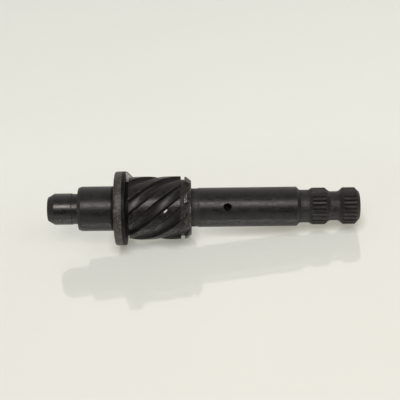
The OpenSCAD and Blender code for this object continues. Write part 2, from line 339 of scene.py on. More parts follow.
# %% Draw one tooth and one serration
def tooth_section():
    """One helical tooth and its space, as turns and radii from the tooth's middle."""
    fillet_r = ROOT_R + TOOTH_FILLET_H
    top, low = tooth_side(HELIX_R), tooth_side(fillet_r)
    foot = low + math.degrees(TOOTH_FILLET_H * slope_of(FILLET_FLARE) / fillet_r)
    half_pitch = 180 / HELIX_TEETH
    land = [(top * share, HELIX_R) for share in LAND_SHARES]
    edge = [(0, HELIX_R, 0), (top, HELIX_R, TOOTH_EDGE_R), (low, fillet_r, 0)]
    side = [(tooth_side(HELIX_R - SIDE_POINT_DROP), HELIX_R - SIDE_POINT_DROP)]
    fillet = [(top, HELIX_R, 0), (low, fillet_r, FILLET_SOFT_R), (foot, ROOT_R, 0)]
    floor = [(low, fillet_r, 0), (foot, ROOT_R, FOOT_SOFT_R), (half_pitch, ROOT_R, 0)]
    half = (
        land
        + rounded_section(edge, steps=3)[1:-1]
        + side
        + rounded_section(fillet, steps=2)[1:-1]
        + rounded_section(floor, steps=1)[1:-1]
    )
    return [(-t, r) for t, r in reversed(half)] + [(0, HELIX_R)] + half + [(half_pitch, ROOT_R)]


def serration_section():
    """One serration groove and its tooth, as turns and radii from the groove's middle."""
    depth = LEVER_R - LEVER_ROOT_R
    mouth = math.degrees(depth * slope_of(LEVER_GROOVE_ANGLE / 2) / LEVER_R)
    half_pitch = 180 / LEVER_TEETH
    corners = [(0, LEVER_ROOT_R, 0), (mouth, LEVER_R, LEVER_LIP_R), (half_pitch, LEVER_R, 0)]
    lip = rounded_section(corners, steps=2)[1:-1]
    return [(-t, r) for t, r in reversed(lip)] + [(0, LEVER_ROOT_R)] + lip + [(half_pitch, LEVER_R)]


tooth = tooth_section()
serration = serration_section()
print("points in a tooth:", len(tooth), "and in a serration:", len(serration))
assert len(tooth) * HELIX_TEETH == len(serration) * LEVER_TEETH == RING_POINTS

# %% [markdown]
# ## Skin the bar
# A plain ring is a circle. In the helical spline each ring takes the outline of the eight teeth
# and turns a little further than the one before, so the mesh runs along the teeth as the cutter
# did. Where a groove or a chamfer was turned, the smaller of the two radii wins, which is what a
# lathe tool leaves. A boolean could cut the same, but with ragged faces along every tooth.

# %% Lay the rings
EVEN = 360 / RING_POINTS
TINY = 1e-6


def repeated(section, count):
    """A section set out all round the bar, as turns and as radii."""
    turns = np.array([i * 360 / count + t for i in range(count) for t, _ in section])
    return turns, np.array([r for _ in range(count) for _, r in section])


def helix_turn(station):
    """How far the first tooth has turned at a station, in degrees."""
    return HELIX_CLOCK - 360 * (station - HELIX_X) / HELIX_LEAD


helix_turns, helix_radii = repeated(tooth, HELIX_TEETH)
lever_turns, lever_radii = repeated(serration, LEVER_TEETH)
even_turns = np.arange(RING_POINTS) * EVEN
first_turn = helix_turns[0] + helix_turn(HELIX_X)
hole_turn = round((helix_turns[0] + helix_turn(HELIX_END_X)) / EVEN) * EVEN
lever_pitch = 360 / LEVER_TEETH
lever_turns += LEVER_CLOCK
lever_turns += lever_pitch * round((hole_turn - lever_turns[0]) / lever_pitch)


def ring(p):
    """The turns and radii of the ring that stands on one outline point."""
    outer = np.full(RING_POINTS, p.y)
    if HELIX_X - TINY <= p.x <= HELIX_END_X + TINY:
        return helix_turns + helix_turn(p.x), np.minimum(helix_radii, outer)
    if p.x >= LEVER_X - TINY:
        return lever_turns, np.minimum(lever_radii, outer)
    return even_turns + (hole_turn if p.x > HELIX_END_X else first_turn), outer


def bar_points():
    """Every point of the skin, ring after ring, as station, hole way and side way."""
    rings = []
    for p in outline[1:-1]:
        turns, radii = ring(p)
        rings.append(np.column_stack((np.full(RING_POINTS, p.x), *around(turns, radii))))
    return np.concatenate(rings)


points = bar_points()
ring_count = len(outline) - 2
print("points in the skin:", len(points))

# %% [markdown]
# ## One dent
# Something hard once hit the edge of a tooth and left a small bright dent, two millimetres long.
# The points near it are pressed towards the axis, most in the middle of the dent. It could be
# sculpted by hand, but a formula gives the same dent each time. Bare metal shows only in the
# narrow scrape at its bottom, which the finish adds later.

# %% Press the dent
DENT_STATION, DENT_TURN, DENT_DEPTH = 45.0, 5.5, 0.22
DENT_LONG, DENT_WIDE, DENT_SPARES_BELOW = 1.5, 0.5, 0.6
SCRAPE_LONG, SCRAPE_WIDE = 1.0, 0.28
DENT_SLANT = math.atan2(math.tau * HELIX_R, HELIX_LEAD)


def dent_reach(station, turn):
    """How far a place is from the dent's middle: 0 there, 1 at its rim."""
    x = station - DENT_STATION
    y = np.radians(turn_from(DENT_TURN, turn)) * HELIX_R
    long_way = x * math.cos(DENT_SLANT) - y * math.sin(DENT_SLANT)
    cross_way = x * math.sin(DENT_SLANT) + y * math.cos(DENT_SLANT)
    return np.hypot(long_way / DENT_LONG, cross_way / DENT_WIDE)


def turn_and_radius(hole_distance, side_distance):
    """The way back from distances along the hole's way and the side way."""
    return np.degrees(np.arctan2(side_distance, hole_distance)), np.hypot(hole_distance, side_distance)


turns, radii = turn_and_radius(points[:, 1], points[:, 2])
on_top = radii > HELIX_R - DENT_SPARES_BELOW
pressed = np.clip(1 - dent_reach(points[:, 0], turns), 0, 1) * on_top
points[:, 1:] *= (1 - DENT_DEPTH * pressed / radii)[:, None]
print("points pressed:", int((pressed > 0).sum()))

# %% [markdown]
# ## Open the spring hole
# The return spring hooks into a small drilled hole. A square of the even rings is left out, and
# its edge is joined to a circle that lies on the journal, then down over the broken edge, along
# the wall and to the drill's point. A boolean would be quicker to write, but growing the hole
# from the mesh keeps clean quads round it.

# %% The loops down the hole
HOLE_R, HOLE_RIM_W, HOLE_FLOOR, DRILL_POINT = 1.4, 0.25, 0.5, 118.0
HALF_COLUMNS, RIM_SOFT = 10, 0.04
hole_row = len(before_hole) - 1
hole_column = round(-hole_turn / EVEN)


def grid(i, j):
    """The number of a point in the skin, by ring and by place in the ring."""
    return i * RING_POINTS + j % RING_POINTS


def hole_square():
    """The points on the edge of the square round the hole, in order."""
    low, high = hole_row, hole_row + HOLE_ROWS
    left, right = hole_column - HALF_COLUMNS, hole_column + HALF_COLUMNS
    return (
        [grid(low, j) for j in range(left, right)]
        + [grid(i, right) for i in range(low, high)]
        + [grid(high, j) for j in range(right, left, -1)]
        + [grid(i, left) for i in range(high, low, -1)]
    )


square = hole_square()
from_hole = points[square][:, [0, 2]] - (SPRING_HOLE_X, 0)
from_hole /= np.hypot(*from_hole.T)[:, None]


def hole_loop(radius, height=None):
    """A loop of points round the hole's axis. With no height given, it lies on the journal."""
    u, v = from_hole[:, 0] * radius, from_hole[:, 1] * radius
    out = np.sqrt(MAIN_R**2 - v**2) if height is None else np.full(len(u), height)
    return np.column_stack((u + SPRING_HOLE_X, out, v))


rim_height = np.sqrt(MAIN_R**2 - (from_hole[:, 1] * (HOLE_R + HOLE_RIM_W)) ** 2)
rim_r = HOLE_R + rim_height - (MAIN_R - HOLE_RIM_W)
loops = [
    hole_loop(rim_r + GUARD),
    hole_loop(rim_r + RIM_SOFT),
    hole_loop(rim_r - RIM_SOFT, rim_height - RIM_SOFT),
    hole_loop(HOLE_R, MAIN_R - HOLE_RIM_W - RIM_SOFT),
    hole_loop(HOLE_R, MAIN_R - HOLE_RIM_W - GUARD),
    hole_loop(HOLE_R, HOLE_FLOOR + GUARD),
    hole_loop(HOLE_R, HOLE_FLOOR),
]
drill_tip = (SPRING_HOLE_X, HOLE_FLOOR - HOLE_R / slope_of(DRILL_POINT / 2), 0)
print("points round the hole:", len(square))


# %% [markdown]
# ## Make the mesh
# The bar is one closed skin, as the real shaft is one piece. Blender can build it from a list of
# points and a list of faces, each face naming its points by number. Extruding and merging by
# hand would give the same. Four neighbours in the grid of rings make one face, and each end
# closes in a fan of triangles round the tip of its lathe centre.

# %% Make the mesh
def bar_faces():
    """The faces between the rings, with the square round the spring hole left out."""
    faces = []
    for i in range(ring_count - 1):
        for j in range(RING_POINTS):
            column = (j - hole_column + HALF_COLUMNS) % RING_POINTS
            if hole_row <= i < hole_row + HOLE_ROWS and column < 2 * HALF_COLUMNS:
                continue
            faces.append((grid(i, j), grid(i, j + 1), grid(i + 1, j + 1), grid(i + 1, j)))
    return faces


def bar_mesh():
    """The whole skin: the rings, the hole's loops and the two fans at the ends."""
    n, count = len(square), len(points)
    loop_ids = [square] + [list(range(count + k * n, count + (k + 1) * n)) for k in range(len(loops))]
    first, last, drill = (count + len(loops) * n + k for k in range(3))
    tips = [(outline[0].x, 0, 0), (outline[-1].x, 0, 0), drill_tip]
    faces = bar_faces()
    for a, b in zip(loop_ids, loop_ids[1:]):
        faces += [(a[k], a[(k + 1) % n], b[(k + 1) % n], b[k]) for k in range(n)]
    faces += [(loop_ids[-1][k], loop_ids[-1][(k + 1) % n], drill) for k in range(n)]
    end = ring_count - 1
    for j in range(RING_POINTS):
        faces += [(first, grid(0, j + 1), grid(0, j)), (last, grid(end, j), grid(end, j + 1))]
    mesh = bpy.data.meshes.new("shaft")
    mesh.from_pydata(laid_down(np.concatenate([points, *loops, tips])).tolist(), [], faces)
    return mesh


shaft = bpy.data.objects.new("shaft_surface", bar_mesh())
bpy.context.scene.collection.objects.link(shaft)
print("faces:", len(shaft.data.polygons))

# %% [markdown]
# ## The ramp lug
# Between the flange and the teeth a short ramp of metal is left standing at the back. It is a
# wedge that starts just under the flange's rim and slopes down at 45 degrees past the tops of
# the teeth. It crosses the teeth at odd angles, so here a boolean union is the right tool: it
# finds the crossing line by itself, and only a few faces are touched.

# %% Weld on the lug
LUG_CLOCK, LUG_ANGLE, LUG_STEPS = -91.0, 30.0, 20
LUG_FLAT, LUG_DROP, LUG_EDGE_R, LUG_SUNK = 0.3, 0.1, 0.12, 1.0
LUG_SHARP, LUG_EDGE_STEPS = 20.0, 3


def lug_object():
    """The wedge as an object of its own, with rounded edges, sunk a little into the bar."""
    top, base = FLANGE_R - LUG_DROP, ROOT_R - LUG_SUNK
    corner_x = FLANGE_END_X + LUG_FLAT
    ramp = [
        (FLANGE_END_X - LUG_SUNK, base),
        (FLANGE_END_X - LUG_SUNK, top),
        (corner_x, top),
        (corner_x + top - base, base),
    ]
    bm = bmesh.new()
    slices = []
    for k in range(LUG_STEPS + 1):
        turn = LUG_CLOCK + LUG_ANGLE * (k / LUG_STEPS - 0.5)
        slices.append([bm.verts.new(p) for p in laid_down([(x, *around(turn, r)) for x, r in ramp])])
    for a, b in zip(slices, slices[1:]):
        for k in range(len(ramp)):
            after = (k + 1) % len(ramp)
            bm.faces.new((a[k], a[after], b[after], b[k]))
    bm.faces.new(slices[0])
    bm.faces.new(reversed(slices[-1]))
    bmesh.ops.recalc_face_normals(bm, faces=bm.faces)
    edges = [e for e in bm.edges if e.calc_face_angle() > math.radians(LUG_SHARP)]
    round_off = {"offset": LUG_EDGE_R * MM, "segments": LUG_EDGE_STEPS, "profile": 0.5}
    bmesh.ops.bevel(bm, geom=edges, affect="EDGES", **round_off)
    mesh = bpy.data.meshes.new("lug")
    bm.to_mesh(mesh)
    bm.free()
    lug = bpy.data.objects.new("lug", mesh)
    bpy.context.scene.collection.objects.link(lug)
    return lug


def weld(base, addition):
    """Joins an object into another with a boolean union, and keeps the result as its mesh."""
    union = base.modifiers.new("union", "BOOLEAN")
    union.operation = "UNION"
    union.solver = "EXACT"
    union.object = addition
    seen = base.evaluated_get(bpy.context.evaluated_depsgraph_get())
    mesh = bpy.data.meshes.new_from_object(seen)
    base.modifiers.clear()
    base.data = mesh
    bpy.data.objects.remove(addition)


def open_edges(mesh):
    """How many edges don't have a face on each of their two sides."""
    bm = bmesh.new()
    bm.from_mesh(mesh)
    count = sum(not e.is_manifold for e in bm.edges)
    bm.free()
    return count


print("open edges before:", open_edges(shaft.data))
weld(shaft, lug_object())
skin = shaft.data
print("open edges after:", open_edges(skin), "faces:", len(skin.polygons))

# %% [markdown]
# ## Mark edges and hollows
# Blackening rubs off where metal meets metal: along the teeth's edges, the flange's rim and the
# corners of the chamfers. The hollow corners are painted dark, as painted shade. Two numbers on
# each point of the mesh say how near it is to a sharp edge or to a hollow corner. They could be
# found in the material with a bevel node, but numbers on the mesh are kept when the model is exported.

# %% Measure how sharp each edge is
EDGE_REACH, HOLLOW_REACH, SHARP_ENOUGH, SHADED_SMOOTH = 0.32, 0.9, 9.0, 40.0


def nearness(mesh, chosen, reach):
    """For every point, 1 on a chosen point, falling to 0 at the reach, in mm."""
    tree = kdtree.KDTree(len(chosen))
    for i in chosen:
        tree.insert(mesh.vertices[i].co, i)
    tree.balance()
    return np.array([max(0.0, 1 - tree.find(v.co)[2] / (reach * MM)) for v in mesh.vertices])


def mark(mesh):
    """Writes both numbers to the mesh and says how many points lie on edges and in hollows."""
    bm = bmesh.new()
    bm.from_mesh(mesh)
    bmesh.ops.recalc_face_normals(bm, faces=bm.faces)
    bm.to_mesh(mesh)
    ridges, hollows = set(), set()
    for edge in bm.edges:
        bend = math.degrees(edge.calc_face_angle_signed(0.0))
        if abs(bend) > SHARP_ENOUGH:
            (ridges if bend > 0 else hollows).update(v.index for v in edge.verts)
    bm.free()
    for name, chosen, reach in (("edge", ridges, EDGE_REACH), ("hollow", hollows, HOLLOW_REACH)):
        layer = mesh.attributes.new(name, "FLOAT", "POINT")
        layer.data.foreach_set("value", nearness(mesh, sorted(chosen), reach))
    return len(ridges), len(hollows)


print("points on edges and in hollows:", mark(skin))
skin.shade_smooth()
skin.set_sharp_from_angle(angle=math.radians(SHADED_SMOOTH))

# %% [markdown]
# ## A helper for nodes
# A material in Blender is a tree of nodes: small boxes with inputs and outputs, joined by links.
# They are often placed by hand in the shader editor. In a script, a short helper that adds a
# node, fills its inputs and links them keeps each recipe readable from top to bottom. Most
# inputs have a name. A Mix node has the same names for numbers and for colours, so its colour
# inputs go by their place in the row.

# %% A helper for nodes
MIX_FACTOR, MIX_FIRST, MIX_SECOND, MIX_RESULT = 0, 6, 7, 2


class Nodes:
    """A short way to add nodes and link them."""

    def __init__(self, tree):
        self.tree = tree

    def add(self, kind, inputs=None, **settings):
        """A new node. Each input is filled by a value, or linked to another node's output."""
        node = self.tree.nodes.new("ShaderNode" + kind)
        for name, value in settings.items():
            setattr(node, name, value)
        for name, value in (inputs or {}).items():
            if isinstance(value, bpy.types.NodeSocket):
                self.tree.links.new(value, node.inputs[name])
            else:
                node.inputs[name].default_value = value
        return node

    def math(self, operation, a, b=0.0):
        """The result of one sum on two values."""
        return self.add("Math", {0: a, 1: b}, operation=operation).outputs[0]

    def times(self, a, b):
        return self.math("MULTIPLY", a, b)

    def total(self, first, *others):
        """All the values added up."""
        for value in others:
            first = self.math("ADD", first, value)
        return first

    def mix(self, factor, a, b):
        """A colour that is a where the factor is 0, and b where it is 1."""
        inputs = {MIX_FACTOR: factor, MIX_FIRST: a, MIX_SECOND: b}
        return self.add("Mix", inputs, data_type="RGBA").outputs[MIX_RESULT]

    def span(self, value, low, high, to_low=0.0, to_high=1.0):
        """A value moved from one range to another, and held inside the new one."""
        inputs = {"Value": value, "From Min": low, "From Max": high, "To Min": to_low, "To Max": to_high}
        return self.add("MapRange", inputs, clamp=True).outputs[0]

    def noise(self, vector, scale, detail, rough=0.55):
        """A soft noise between 0 and 1, with finer noise on top as its detail goes up."""
        inputs = {"Vector": vector, "Scale": scale, "Detail": detail, "Roughness": rough}
        return self.add("TexNoise", inputs).outputs[0]


def new_material(name):
    """An empty material and the helper that fills it."""
    material = bpy.data.materials.new(name)
    material.use_nodes = True
    material.node_tree.nodes.clear()
    return material, Nodes(material.node_tree)


print("a node helper with", [name for name in vars(Nodes) if not name.startswith("_")])

# %% [markdown]
# ## Where the scrape lies
# The blow that dented the tooth also scraped it bare, in a long narrow mark that slants with the
# tooth. It could be painted on the mesh's points, but they stand too far apart for its crisp
# edge. The material works it out instead: how far each place is from the scrape's middle, along
# three ways of its own, each measured in the scrape's length or width.

# %% Measure from the scrape's middle
SCRAPE_FULL, SCRAPE_GONE = 0.6, 1.0
scrape_point = Vector(laid_down([(DENT_STATION, *around(DENT_TURN, HELIX_R))])[0]) / MM
outward = hole_way * math.cos(math.radians(DENT_TURN)) + side_way * math.sin(math.radians(DENT_TURN))
round_way = along.cross(outward)
scrape_way = along * math.cos(DENT_SLANT) - round_way * math.sin(DENT_SLANT)
scrape_across = scrape_way.cross(outward)
SCRAPE_SIZES = ((scrape_way, SCRAPE_LONG), (scrape_across, SCRAPE_WIDE), (outward, SCRAPE_LONG))


def scrape_mask(n, in_mm):
    """1 on the scrape's bare metal and 0 off it, worked out from the place of each point."""
    away = n.add("VectorMath", {0: in_mm, 1: scrape_point}, operation="SUBTRACT").outputs[0]
    reach = 0.0
    for way, size in SCRAPE_SIZES:
        part = n.add("VectorMath", {0: away, 1: way / size}, operation="DOT_PRODUCT").outputs["Value"]
        reach = n.total(reach, n.times(part, part))
    return n.span(reach, SCRAPE_FULL, SCRAPE_GONE, 1.0, 0.0)


print("scrape at", [round(v, 2) for v in scrape_point])

# %% [markdown]
# ## How each stretch was cut
# Black oxide is a thin dark skin with next to no colour of its own. What the eye sees is the cut
# underneath: ground journals shine with a soft bright band, turned necks carry fine rings, milled
# teeth are duller, and the flange's rim is rough and mottled. They could be nine materials made
# by hand. Here they are nine sets of numbers for one recipe, so they stay one family of black.

# %% Nine looks of one steel
# Bare steel for rubbed spots. On the lug's struck end it is also raised to stand in for a painted
# reflection.
BARE_STEEL, FRESH_STEEL = (0.50, 0.49, 0.465, 1), (0.75, 0.73, 0.70, 1)
RUBBED_BROWN, SPECK_BROWN = (0.055, 0.047, 0.040, 1), (0.095, 0.087, 0.077, 1)
# A near black, painted into hollows and into corners where shade falls.
PAINTED_SHADE_BLACK = (0.003, 0.003, 0.003, 1)
GROUND_BLACK, GROUND_BROWN = (0.0095, 0.0099, 0.0106, 1), (0.0165, 0.0160, 0.0158, 1)
MILLED_BLACK, MILLED_BROWN = (0.0080, 0.0074, 0.0080, 1), (0.0175, 0.0145, 0.0138, 1)
RIM_BLACK, RIM_BROWN = (0.010, 0.0092, 0.0086, 1), (0.036, 0.032, 0.028, 1)


@dataclass
class Look:
    """How one stretch of the blackened steel looks. Lengths are in millimetres."""

    name: str
    black: tuple  # the darker of its two tones
    brown: tuple  # the lighter one, in soft patches
    gloss: float  # roughness of its reflection
    mottle: float  # how strongly brown specks show
    wear: float  # how far its edges are rubbed
    cut: float  # spacing of the tool marks
    cut_depth: float
    grain_depth: float
    wave: float  # depth of the slow unevenness
    ior: float = 1.5  # how strongly the black reflects
    # How dark its hollows are painted, as painted shade.
    corner_shade: float = 0.9  # how black its corners are
    shine: float = 0.8  # how metallic its bare spots are


LOOKS = [
    Look("ground_journal", GROUND_BLACK, GROUND_BROWN, gloss=0.30, mottle=0.05, wear=0.1,
         cut=0.12, cut_depth=0.004, grain_depth=0.0012, wave=0.0042, ior=1.41),
    Look("ground_pilot", GROUND_BLACK, GROUND_BROWN, gloss=0.23, mottle=0.04, wear=0.1,
         cut=0.12, cut_depth=0.001, grain_depth=0.0005, wave=0.001),
    Look("turned_steel", MILLED_BLACK, GROUND_BROWN, gloss=0.43, mottle=0.1, wear=0.15,
         cut=0.3, cut_depth=0.03, grain_depth=0.003, wave=0.004),
    Look("milled_teeth", MILLED_BLACK, MILLED_BROWN, gloss=0.26, mottle=0.05, wear=0.2,
         cut=0.5, cut_depth=0.004, grain_depth=0.005, wave=0.003, ior=1.37),
    Look("rubbed_collar", MILLED_BLACK, MILLED_BROWN, gloss=0.32, mottle=0.3, wear=0.38,
         cut=0.3, cut_depth=0.01, grain_depth=0.005, wave=0.004, ior=1.42),
    Look("flange_rim", RIM_BLACK, RIM_BROWN, gloss=0.40, mottle=1.0, wear=0.15,
         cut=0.4, cut_depth=0.008, grain_depth=0.03, wave=0.008),
    Look("serrated_end", MILLED_BLACK, MILLED_BROWN, gloss=0.38, mottle=0.2, wear=0.05,
         cut=0.5, cut_depth=0.004, grain_depth=0.005, wave=0.004, ior=1.4, corner_shade=0.6),
    # A near-black look, painted where shade falls: in the corner before the flange and behind the
    # flange.
    Look("painted_shade_corner", PAINTED_SHADE_BLACK, MILLED_BLACK, gloss=0.4, mottle=0.02, wear=0.0,
         cut=0.3, cut_depth=0.004, grain_depth=0.003, wave=0.003, ior=1.25),
    # The lug's struck end face, pale as bare steel: partly wear, partly a painted reflection of the
    # light it catches.
    Look("struck_lug_and_painted_sheen", GROUND_BLACK, GROUND_BROWN, gloss=0.45, mottle=0.1, wear=1.25,
         cut=0.5, cut_depth=0.004, grain_depth=0.005, wave=0.005, shine=0.1),
]
GROUND, PILOT, TURNED, MILLED, COLLAR, RIM, SERRATED, PAINTED_SHADE_LOOK, STRUCK_AND_SHEEN = range(len(LOOKS))
print("looks:", [look.name for look in LOOKS])

# %% [markdown]
# ## Blackened steel
# Nothing on a used part is quite even: the bath leaves soft blotches, handling polishes some
# places more than others, and a stone or a tool leaves fine marks. A picture of steel would
# need unwrapping and would blur close up. Noises laid out along the shaft need neither: squeezed
# along the axis they are tool marks that run round, drawn out along it they are streaks, and
# left alone they are blotches, specks and grain.

# %% The noises, laid out along the shaft
AXIS_HEIGHT = (pilot_end.z * math.cos(tip_angle) + pilot_end.x * math.sin(tip_angle)) / MM
ROUND_THE_BAR, ALONG_THE_BAR = (1, 0.02, 0.02), (0.3, 1.6, 1.6)
MARK_DETAIL, MARK_ROUGH = 3.0, 0.7
# For each noise its scale, in waves to a millimetre, its detail and its roughness.
EVEN_NOISES = {
    "grain": (9.0, 5.0, 0.65),
    "blotch": (0.35, 5.0, 0.6),
    "speck": (3.2, 3.0, 0.6),
    "handled": (1.3, 2.0, 0.5),
}
STREAK_NOISE = (1.0, 4.0, 0.65)


def steel_noises(n, in_mm, cut):
    """All the noises of the recipe, by name."""
    level = {"Vector": in_mm, "Rotation": (0, -tip_angle, 0), "Location": (0, 0, -AXIS_HEIGHT)}
    lathe = n.add("Mapping", level).outputs[0]
    noises = {name: n.noise(lathe, *recipe) for name, recipe in EVEN_NOISES.items()}
    rings = n.add("Mapping", {"Vector": lathe, "Scale": ROUND_THE_BAR}).outputs[0]
    noises["tool_marks"] = n.noise(rings, 1 / cut, MARK_DETAIL, MARK_ROUGH)
    drawn = n.add("Mapping", {"Vector": lathe, "Scale": ALONG_THE_BAR}).outputs[0]
    noises["streak"] = n.noise(drawn, *STREAK_NOISE)
    return noises


print("the axis lies", round(AXIS_HEIGHT, 2), "mm over the noises' own level")

# %% From noises to tone, dullness and height
BLOTCH_SPAN, HANDLED_SPAN, SPECK_SPAN = (0.42, 0.66), (0.45, 0.68), (0.56, 0.74)
RUBBED_SPAN, PATCHY_SPAN, LEAST_PATCHY = (0.1, 1.0), (0.85, 1.25), 0.1
BARE_FROM, BARE_FULL = 0.95, 1.35
DULL_SPAN, SHINIER, DULLER = (0.35, 0.7), 0.03, 0.05
STREAK_SPAN, STREAK_SHINIER, STREAK_DULLER = (0.4, 0.65), 0.1, 0.4
WAVE_SPAN, WAVE_SHINIER, WAVE_DULLER = (0.35, 0.65), 5.0, 16.0
CORNER_DULLER = 0.15


def steel_tone(n, look, noise, edge, hollow):
    """The colour before any metal shows: blotched, specked, painted dark in corners as shade, rubbed on
    edges.
    """
    tone = n.mix(n.span(noise["blotch"], *BLOTCH_SPAN), look.black, look.brown)
    for name, span in (("handled", HANDLED_SPAN), ("speck", SPECK_SPAN)):
        tone = n.mix(n.times(n.span(noise[name], *span), look.mottle), tone, SPECK_BROWN)
    # Painted shade: the hollows are darkened towards near black.
    tone = n.mix(n.times(hollow, look.corner_shade), tone, PAINTED_SHADE_BLACK)
    return n.mix(n.span(edge, *RUBBED_SPAN, 0.0, look.wear), tone, RUBBED_BROWN)


def steel_dullness(n, look, noise, hollow):
    """The roughness: the cut's own, uneven in blotches, streaks and waves, more in corners."""
    blotches = n.span(noise["blotch"], *DULL_SPAN, look.gloss - SHINIER, look.gloss + DULLER)
    shares = -STREAK_SHINIER * look.gloss, STREAK_DULLER * look.gloss
    streaks = n.span(noise["streak"], *STREAK_SPAN, *shares)
    corners = n.times(hollow, CORNER_DULLER)
    waves = n.times(n.span(noise["handled"], *WAVE_SPAN, -WAVE_SHINIER, WAVE_DULLER), look.wave)
    return n.total(blotches, streaks, corners, waves)


def steel_bump(n, look, noise):
    """The fine height that bends the reflection: tool marks, grain and slow waves."""
    marks = n.times(noise["tool_marks"], look.cut_depth)
    grain = n.times(noise["grain"], look.grain_depth)
    height = n.total(marks, grain, n.times(noise["handled"], look.wave))
    return n.add("Bump", {"Height": height, "Strength": 1.0, "Distance": MM}).outputs[0]


print("corners are", CORNER_DULLER, "rougher than the steel round them")


# %% Put one steel together
def blackened_steel(look):
    """The material of one look."""
    material, n = new_material(look.name)
    place = n.add("TexCoord").outputs["Object"]
    in_mm = n.add("VectorMath", {0: place, "Scale": 1 / MM}, operation="SCALE").outputs[0]
    noise = steel_noises(n, in_mm, look.cut)
    edge = n.add("Attribute", attribute_name="edge").outputs["Fac"]
    hollow = n.add("Attribute", attribute_name="hollow").outputs["Fac"]
    patchy = n.span(n.total(noise["blotch"], noise["speck"]), *PATCHY_SPAN, LEAST_PATCHY, 1.0)
    bare = n.span(n.times(edge, patchy), BARE_FROM - look.wear, BARE_FULL - look.wear)
    tone = n.mix(bare, steel_tone(n, look, noise, edge, hollow), BARE_STEEL)
    inputs = {
        "Base Color": n.mix(scrape_mask(n, in_mm), tone, FRESH_STEEL),
        "Roughness": steel_dullness(n, look, noise, hollow),
        "Metallic": n.times(bare, look.shine),
        "Normal": steel_bump(n, look, noise),
    }
    shader = n.add("BsdfPrincipled", inputs)
    shader.inputs["IOR"].default_value = look.ior
    n.add("OutputMaterial", {"Surface": shader.outputs[0]})
    return material


for look in LOOKS:
    skin.materials.append(blackened_steel(look))
print("materials:", len(skin.materials), "with", len(skin.materials[0].node_tree.nodes), "nodes each")

# %% [markdown]
# ## Give each stretch its finish
# On the real shaft a finish ends where a tool stopped: at a shoulder, a groove or a chamfer. The
# faces could be picked by hand in edit mode. Here each face says where its middle is, by station,
# radius and turn, and which way it looks, and that is enough to know which tool made it.

# %% Where each finish ends
RAMP_LINE = FLANGE_END_X + LUG_FLAT + FLANGE_R - LUG_DROP
LUG_BESIDE, FLAT_END, TURNED_FACE = 1.0, 0.95, 0.3
RIM_BACK, RIM_AHEAD = -0.9, 0.15
HAIR, CLOSE, NEAR = 0.02, 0.1, 0.2


def lug_finish(station, radius, turn, sideways):
    """The finish of a face on the lug, or None off it. A flat end looks round the bar."""
    from_middle = turn_from(LUG_CLOCK, turn)
    if abs(from_middle) > LUG_ANGLE / 2 + LUG_BESIDE:
        return None
    if not FLANGE_END_X + TINY < station < RAMP_LINE - ROOT_R:
        return None
    if sideways > FLAT_END:
        # The struck end is pale: partly wear, partly painted reflection.
        return STRUCK_AND_SHEEN if from_middle > 0 else MILLED
    if RAMP_LINE - LUG_FLAT - LUG_EDGE_R < station + radius < RAMP_LINE + HAIR:
        return MILLED
    return None


def finish_at(station, radius, facing):
    """Which finish a face has. facing is how far it looks towards the lever, 0 on a cylinder."""
    if station > LEVER_X:
        return SERRATED
    if RING_GROOVE_X < station < RING_GROOVE_END_X and radius < RING_GROOVE_R + FINE:
        return TURNED
    if HELIX_X - CLOSE < station < HELIX_END_X - HAIR:
        return COLLAR if station > RING_GROOVE_END_X else MILLED
    if FLANGE_X < station < RIM_SHADE_X and radius > HELIX_R and RIM_BACK < facing < RIM_AHEAD:
        return RIM
    # Painted shade: the corner before the flange, the rim's far edge, its face and the groove behind it
    # are near black.
    if PAINTED_SHADE_X < station < FLANGE_X or RIM_SHADE_X < station < HELIX_X:
        return PAINTED_SHADE_LOOK
    if abs(facing) > TURNED_FACE:
        return TURNED
    if PILOT_LEAD_X - NEAR < station < SHOULDER_X - CLOSE:
        return PILOT
    if JOURNAL_LEAD_X - NEAR < station < FLANGE_X:
        return GROUND
    if MAIN_FULL_X - NEAR < station < MAIN_CHAMFER_X + NEAR:
        return GROUND
    return TURNED


print("the lug's ramp ends at station", round(RAMP_LINE - ROOT_R, 2))

# %% Look at every face
for face in skin.polygons:
    out = (face.center - pilot_end) / MM
    station = out.dot(along)
    turn, radius = turn_and_radius(out.dot(hole_way), out.dot(side_way))
    sideways = abs(face.normal.dot(along.cross((out - along * station).normalized())))
    finish = lug_finish(station, radius, turn, sideways)
    if finish is None:
        finish = finish_at(station, radius, face.normal.dot(along))
    face.material_index = finish
print("faces by finish:", np.bincount([f.material_index for f in skin.polygons]))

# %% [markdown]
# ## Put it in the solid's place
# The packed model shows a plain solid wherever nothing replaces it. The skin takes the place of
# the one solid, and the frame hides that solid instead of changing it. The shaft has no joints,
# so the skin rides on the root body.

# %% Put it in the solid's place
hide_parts("kick_start_shaft")
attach(shaft, "root")
print("replaced:", shaft.name, "stands for kick_start_shaft")

# %% [markdown]
# ## The table
# The shaft lies on a glossy white table, and its mirror image starts a little below it, as glass
# over a white sheet gives. One shiny floor would put the image right under the shaft. So the
# table is two sheets: a clear one that the shaft lies on, and a white glossy one 2.4 mm below.
# Where the shaft stands close over the clear sheet, a brown tint draws the soft contact shade;
# lamp rays pass it untouched, so the rest of the table isn't darkened. The white sheet glows a
# little for whoever looks at it, which keeps it pale with no more light on the steel.

# %% The two sheets' materials
GLASS_T, GLASS_IOR, GLASS_DULL = 2.4, 1.2, 0.04
SHADE_REACH, SHADE_SAMPLES, SHADE_BROWN = 4.4, 8, (0.50, 0.47, 0.42, 1)
WHITE_IOR, WHITE_GLOW = 3.35, 0.455
WHITE_TONES = ((0.84, 0.857, 0.80, 1), (0.88, 0.897, 0.835, 1))
PATCHES_PER_M, SMEARS_PER_M, SHEET_DETAIL = 6.0, 40.0, 3.0
SMEAR_SPAN, WHITE_DULL = (0.3, 0.7), (0.07, 0.1)
CLEAR, NO_LIGHT = (1, 1, 1, 1), (0, 0, 0, 1)


